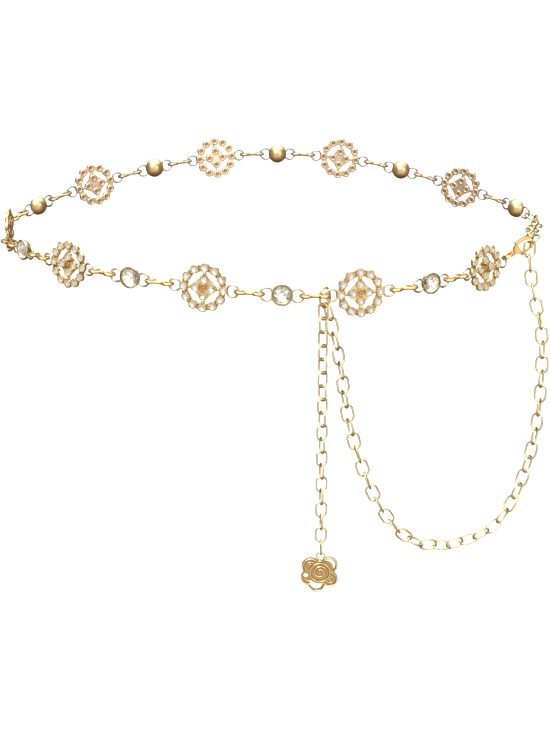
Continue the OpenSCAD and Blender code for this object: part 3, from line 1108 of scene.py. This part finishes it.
@dataclass
class CrystalCup(Setting):
    """Large crystal in a domed cup, with a loop at each side."""

    loop_radius: float = 3.3
    loop_x: float = 7.74
    wall: tuple[float, float] = (0.0, 5.35)
    ball_radius: float = 5.75
    ball_z: float = 1.2
    rim_z: float = 1.0
    seat_radius: float = 5.14
    floor_radius: float = 4.65
    floor_z: float = -3.0
    stone_radius: float = 4.96
    girdle_z: float = 0.45
    table_z: float = 3.1
    stone_depth: float = 2.7

    def metal(self) -> Shape:
        """Model the cup and its loops.

        Returns:
            The metal shape.
        """
        arc = [math.radians(-5.0 - 85.0 * step / 16) for step in range(17)]
        dome = [
            (max(0.0, self.ball_radius * math.cos(a)), self.ball_z + self.ball_radius * math.sin(a))
            for a in arc
        ]
        seat, rim = self.seat_radius, self.rim_z
        profile = [
            (seat, rim - 0.16), (seat + 0.14, rim), (seat + 0.42, rim + 0.02), *dome,
            (0.0, self.floor_z), (0.8, self.floor_z), (self.floor_radius, -0.15), (seat, -0.1),
        ]
        cup = lathe(profile, 56, 40)
        golds = (self.finishes.cup, self.finishes.cup_back)
        paint(cup, golds, lambda face: int(face.normal.z < -0.25))
        return join([cup, *self.loops()])

    def dress(self) -> None:
        """Lay the nine crystals and their cups, found by the middle of the cup's height."""
        crystal = CutStone(
            self.stone_radius, self.table_z - self.girdle_z, self.stone_depth, self.girdle_z,
            self.finishes.glass, self.finishes.large_foil, back_facets=16,
        ).build()
        shapes = {"crystal_cup": (self.metal(), Slot.GOLD), "crystal": (crystal, Slot.CRYSTALS)}
        self.lay_row(9, shapes, mid=(self.ball_z - self.ball_radius + self.rim_z) / 2)


@dataclass
class FigureEight(Assembly):
    """Flat link of round wire, pinched in the middle."""

    length: float = 14.28
    lobe_radius: float = 2.6
    wire: float = 1.7
    pinch: float = 0.93
    lobe_turn: float = 140.0

    def dress(self) -> None:
        """Model the link as a lobe and a neck, each with its mirror, and lay all seventeen."""
        centre = self.length / 2 - self.lobe_radius
        turn = math.radians(self.lobe_turn)
        x_end = centre + self.lobe_radius * math.cos(turn)
        y_end = self.lobe_radius * math.sin(turn)
        slope = -math.cos(turn) / math.sin(turn)
        half = [
            (centre + self.lobe_radius * math.cos(a), self.lobe_radius * math.sin(a), 0.0)
            for a in (turn * step / 12 for step in range(-12, 13))
        ]
        for step in range(1, 12):
            x = x_end * (1 - step / 6)
            u = abs(x) / x_end
            y = (
                self.pinch * (2 * u**3 - 3 * u**2 + 1)
                + y_end * (3 * u**2 - 2 * u**3)
                + slope * x_end * (u**3 - u**2)
            )
            half.append((x, y, 0.0))
        link = bend(half + [(-x, -y, 0.0) for x, y, _ in half], self.wire)
        paint(link, [self.finishes.link])
        self.lay_row(17, {"connector": (link, Slot.PALE_GOLD)}, outwards=False)


@dataclass
class CableChain(Assembly):
    """Chain of oval links of round wire."""

    node: str
    length: float
    width: float
    wire: float

    def dress(self) -> None:
        """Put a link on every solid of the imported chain, and lay them as one piece."""
        radius = (self.width - self.wire) / 2
        link = wire_ring(radius, self.wire, (self.length - self.width) / 2, turns=32)
        paint(link, [self.finishes.cable])
        solids = self.places.solids(self.node)
        chain = join([duplicate(link, Placement.frame_of(solid)) for solid in solids])
        self.lay(chain, self.node, Slot.GOLD)
        discard([link, chain])


@dataclass
class Findings(Assembly):
    """Lobster clasp with its lever and jump ring, and the front ring."""

    softness: float = 0.28
    rivet_reach: float = 1.2
    rivet_head: Profile = ((0.0, 0.2), (0.3, 0.17), (0.56, 0.06), (0.6, -0.04), (0.4, -0.1))

    def rivet(self) -> Shape:
        """Model the rivet that the clasp's lever turns on.

        Returns:
            The rivet.
        """
        hinge = self.places.joints["lever_hinge"]
        side = [(radius, self.rivet_reach + height) for radius, height in self.rivet_head]
        obj = lathe(side + [(radius, -height) for radius, height in reversed(side)], 20, 50)
        paint(obj, [self.finishes.cast])
        turn = Vector((0, 0, 1)).rotation_difference(Vector(hinge["axis"])).to_matrix().to_4x4()
        obj.data.transform(Matrix.Translation(Vector(hinge["pos_m"]) / MM) @ turn)
        return obj

    def dress(self) -> None:
        """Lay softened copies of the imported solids, and the rivet on the clasp's body."""
        for node in ("clasp_body", "clasp_lever", "clasp_ring", "front_ring"):
            obj = self.places.template(node)
            soften(obj, self.finishes.clasp, self.softness, 4, clamped=False, merge_flat=True)
            if node == "clasp_body":
                obj = join([obj, self.rivet()])
            self.lay(obj, node, Slot.GOLD, body="lever" if node == "clasp_lever" else "chain")
            discard([obj])


@dataclass
class Rose(Assembly):
    """Cast rose: a pierced plate with rolled petal edges and a wound bud.

    Discs are (across, up, radius) in shares of the half width; later petals lie in front.
    A roll is (distance inside the petal's outline, thickness, height of its middle). A taper
    is the share of the thickness that is left at the ends.
    """

    half: float = 9.9
    plate_top: float = 0.6
    softness: float = 0.1
    ring_radius: float = 2.15
    ring_wire: float = 1.0
    ring_at: tuple[float, float] = (0.688, 10.369)
    swing_to_centre: float = 12.519
    petals: tuple[Spot, ...] = (
        (0.085, 0.37, 0.46), (0.52, 0.53, 0.47), (-0.15, -0.53, 0.47), (-0.58, -0.19, 0.42),
        (0.57, -0.27, 0.43), (-0.46, 0.45, 0.5),
    )
    bud: Spot = (0.035, 0.12, 0.58)
    holes: tuple[Spot, ...] = ((-0.72, -0.07, 0.13), (0.12, 0.62, 0.09))
    open_petals: tuple[tuple[int, float], ...] = ((2, -1.0), (1, -1.1))
    rolls: tuple[Spot, ...] = ((0.5, 0.92, 0.98), (2.3, 0.8, 0.85))
    inmost_roll: Spot = (3.55, 0.6, 0.75)
    roll_taper: float = 0.45
    bud_wire: float = 0.92
    bud_inset: float = 0.45
    bud_height: float = 1.02
    winding_reach: tuple[float, float] = (0.99, 3.96)
    winding_turns: float = 1.6
    winding_start: float = 200.0
    winding_sink: float = 0.1
    winding_taper: float = 0.5
    bead_radius: float = 0.5
    bead_height: float = 0.85

    def inside(self, disc: Spot, x: float, y: float, margin: float) -> bool:
        """Say whether a place, in millimetres, is in a disc or within a margin round it."""
        across, up, size = (value * self.half for value in disc)
        return math.hypot(x - across, y - up) < size + margin

    def shows(self, x: float, y: float, petal: int) -> bool:
        """Say whether a place of a petal's edge is in front of the later petals and the bud.

        Args:
            x: Place across, in millimetres.
            y: Place up, in millimetres.
            petal: Number of the petal.

        Returns:
            Whether metal is seen there.
        """
        nearer = [(disc, -0.35) for disc in (*self.petals[petal + 1:], self.bud)]
        opened = [(self.petals[petal], m) for number, m in self.open_petals if number == petal]
        pierced = [(disc, 0.2) for disc in self.holes]
        return not any(self.inside(d, x, y, m) for d, m in nearer + opened + pierced)

    def arcs(self, petal: int, roll: Spot) -> list[Shape]:
        """Model the seen stretches of one roll of a petal.

        Args:
            petal: Number of the petal.
            roll: The roll.

        Returns:
            A wire for each stretch.
        """
        inset, wire, height = roll
        across, up, size = (value * self.half for value in self.petals[petal])
        radius = size - inset
        steps = 72
        spots = []
        for step in range(steps):
            angle = 2 * math.pi * step / steps
            x, y = across + radius * math.cos(angle), up + radius * math.sin(angle)
            spots.append((x, y, height) if self.shows(x, y, petal) else None)
        if None not in spots:
            return [bend(spots, wire, sides=10)]
        first = spots.index(None)
        runs: list[list[Spot]] = [[]]
        for spot in spots[first:] + spots[:first]:
            if spot is None:
                runs.append([])
            else:
                runs[-1].append(spot)
        return [bend(run, wire, sides=10, ends=self.roll_taper) for run in runs if len(run) > 3]

    def bud_edges(self) -> list[Shape]:
        """Model the bud.

        Returns:
            Its outer edge, the edge that winds inwards and a bead in the middle.
        """
        across, up, size = (value * self.half for value in self.bud)

        def spot(radius: float, angle: float, height: float) -> Spot:
            """Place at a distance and a direction from the bud's middle."""
            return (across + radius * math.cos(angle), up + radius * math.sin(angle), height)

        turns = [2 * math.pi * step / 64 for step in range(64)]
        rim = [spot(size - self.bud_inset, angle, self.bud_height) for angle in turns]
        start, end = self.winding_reach
        winding = []
        for share in (step / 52 for step in range(53)):
            angle = math.radians(self.winding_start - 360 * self.winding_turns * share)
            height = self.bud_height - self.winding_sink * share
            winding.append(spot(start + (end - start) * share, angle, height))
        return [
            bend(rim, self.bud_wire),
            bend(winding, self.bud_wire, ends=self.winding_taper),
            ball(self.bead_radius, (across, up, self.bead_height)),
        ]

    def plate(self, frame: Matrix) -> Shape:
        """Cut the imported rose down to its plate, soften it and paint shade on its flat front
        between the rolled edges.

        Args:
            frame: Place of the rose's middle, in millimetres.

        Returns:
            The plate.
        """
        plate = self.places.template("rose_pendant", frame)
        size = 40.0
        deselect()
        bpy.ops.mesh.primitive_cube_add(size=size, location=(0, 0, self.plate_top - size / 2))
        block = added()
        modify(plate, "BOOLEAN", operation="INTERSECT", object=block)
        discard([block])
        modify(plate, "TRIANGULATE", ngon_method="BEAUTY")
        close(plate)
        cast = self.finishes.cast
        soften(plate, cast, self.softness, 2, clamped=True, merge_flat=False)
        # Painted shade: the flat front faces of the plate, below the ring, get the darker petal
        # finish.
        top = self.ring_at[1] - 2.0
        paint(
            plate, (cast, self.finishes.petal),
            lambda face: int(face.normal.z > 0.9 and face.center.y < top),
        )
        return plate

    def dress(self) -> None:
        """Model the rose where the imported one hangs, and lay it."""
        swing = Vector(self.places.joints["rose_swing"]["pos_m"]) / MM
        frame = Matrix(((1, 0, 0), (0, 0, -1), (0, 1, 0))).to_4x4()
        frame.translation = swing - Vector((self.ring_at[0], 0.0, self.swing_to_centre))
        plate = self.plate(frame)
        parts = self.bud_edges()
        for petal in range(len(self.petals)):
            for roll in self.rolls:
                parts += self.arcs(petal, roll)
        for petal in (4, 5):
            parts += self.arcs(petal, self.inmost_roll)
        ring = wire_ring(self.ring_radius, self.ring_wire)
        move(ring, (*self.ring_at, 0.0))
        parts.append(ring)
        for part in parts:
            paint(part, [self.finishes.cast])
        rose = join([plate, *parts])
        rose.data.transform(frame)
        self.lay(rose, "rose_pendant", Slot.GOLD, body="rose")
        discard([rose])


@dataclass(frozen=True)
class Lamp:
    """One soft square light; its place, side and target are in metres, its power in watts."""

    name: str
    place: Spot
    side: float
    power: float
    target: Spot = (0.0, 0.0, 0.0)

    def hang(self) -> None:
        """Hang the light."""
        data = bpy.data.lights.new(self.name, "AREA")
        data.shape = "SQUARE"
        data.size = self.side
        data.energy = self.power
        lamp = bpy.data.objects.new(self.name, data)
        lamp.location = self.place
        toward = Vector(self.target) - Vector(self.place)
        lamp.rotation_euler = toward.to_track_quat("-Z", "Y").to_euler()
        bpy.context.scene.collection.objects.link(lamp)


@dataclass
class Studio:
    """Plain pale floor, soft light and the camera, which is placed in millimetres."""

    camera_at: Spot = (-3.1, -688.7, 98.3)
    camera_tilt: float = 75.0
    sensor: float = 36.0
    focal_pixels: float = 1200.0
    image_width: float = 550.0
    floor_at: Spot = (0.0, 1.1, -0.45)
    floor_size: Spot = (30.0, 2.0, 1.0)
    wall_height: float = 3.0
    paper: Colour = (0.93, 0.93, 0.93)
    flag_colour: Colour = (0.2, 0.165, 0.11)
    through_glass: float = 0.5
    room_before: Stops = (
        (0.0, (0.2, 0.165, 0.12)), (0.14, (0.42, 0.38, 0.3)), (0.24, (1.05, 1.04, 1.02)),
        (0.52, (1.05, 1.05, 1.03)), (0.64, (0.75, 0.75, 0.75)), (0.8, (1.2, 1.2, 1.2)),
    )
    room_behind: Stops = (
        (0.0, (0.08, 0.06, 0.04)), (0.45, (0.19, 0.16, 0.11)), (0.66, (0.26, 0.23, 0.17)),
        (0.8, (1.0, 1.0, 1.0)),
    )
    lamps: tuple[Lamp, ...] = (
        Lamp("key", (-0.5, -1.1, 1.1), 1.3, 16.0),
        Lamp("fill", (0.9, -1.1, 0.25), 0.7, 3.0),
        Lamp("top", (0.0, 0.2, 1.6), 2.0, 16.0),
        Lamp("back", (0.0, 0.7, 1.3), 1.8, 20.0, (0.0, 2.1, 0.2)),
    )

    def camera(self) -> None:
        """Set the camera at the photograph's angle."""
        data = bpy.data.cameras.new("camera")
        data.sensor_fit = "HORIZONTAL"
        data.sensor_width = self.sensor
        data.lens = self.sensor * self.focal_pixels / self.image_width
        camera = bpy.data.objects.new("camera", data)
        camera.location = [value * MM for value in self.camera_at]
        camera.rotation_euler = (math.radians(self.camera_tilt), 0.0, 0.0)
        bpy.context.scene.collection.objects.link(camera)
        bpy.context.scene.camera = camera

    def floor(self) -> None:
        """Lay the floor, with a wall that curves up behind."""
        deselect()
        bpy.ops.mesh.primitive_plane_add(size=1.0, location=self.floor_at)
        floor = added(self.floor_size)
        floor.name = "floor"
        pick(floor, lambda co: co.y > self.floor_at[1])
        bpy.ops.mesh.extrude_region_move(
            TRANSFORM_OT_translate={"value": (0, 0, self.wall_height)}
        )
        bpy.ops.object.mode_set(mode="OBJECT")
        modify(floor, "BEVEL", width=0.8, segments=12, limit_method="ANGLE")
        smooth(floor, 60)
        paint(floor, [PaperFinish("paper").make()])
        floor.visible_glossy = False

    def room(self) -> None:
        """Light the room: bright before and above the chain, dark below, beside and behind it.

        The dark parts give the metal its dark edges, as flags beside the table do. The camera
        itself sees plain paper.
        """
        world = bpy.data.worlds.new("room")
        bpy.context.scene.world = world
        graph = Graph(world)
        toward = graph.node("ShaderNodeTexCoord", output="Generated")
        across, depth, height = (
            graph.node("ShaderNodeSeparateXYZ", None, {"Vector": toward}, axis)
            for axis in range(3)
        )
        level = graph.rise(height, -1.0, 1.0)
        before, behind = (
            graph.node("ShaderNodeValToRGB", {"stops": stops}, {"Fac": level})
            for stops in (self.room_before, self.room_behind)
        )
        colour = graph.mix(graph.rise(depth, -0.25, 0.25), before, behind)
        aside = graph.node("ShaderNodeMath", {"operation": "ABSOLUTE"}, {0: across})
        colour = graph.mix(graph.rise(aside, 0.5, 0.85, 0.85), colour, self.flag_colour)
        clutter = graph.rise(graph.noise(toward, 3.4, 2.0), 0.55, 0.62, 0.5)
        colour = graph.mix(clutter, colour, self.flag_colour)
        seen = graph.node("ShaderNodeLightPath", output="Is Camera Ray")
        colour = graph.mix(seen, colour, self.paper)
        through = graph.node("ShaderNodeLightPath", output="Is Transmission Ray")
        strength = 1.0 + self.through_glass * through
        inputs = {"Color": colour, "Strength": strength}
        background = graph.node("ShaderNodeBackground", None, inputs)
        graph.node("ShaderNodeOutputWorld", None, {"Surface": background})

    def build(self) -> None:
        """Set up the whole studio."""
        self.camera()
        self.floor()
        self.room()
        for lamp in self.lamps:
            lamp.hang()
        bpy.context.scene.view_settings.view_transform = "Standard"


def main() -> None:
    """Build every sub-assembly in order, each of which reports its pieces."""
    logging.basicConfig(level=logging.INFO, format="%(name)s: %(message)s")
    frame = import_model()
    Studio().build()
    common = (Palette(), Placement(frame))
    for assembly in (
        Rosette(*common),
        CrystalCup(*common),
        FigureEight(*common),
        CableChain(*common, "swag_chain", 10.5, 7.3, 1.15),
        CableChain(*common, "tail_chain", 9.4, 6.6, 1.05),
        Findings(*common),
        Rose(*common),
    ):
        assembly.dress()


if __name__ == "__main__":
    main()
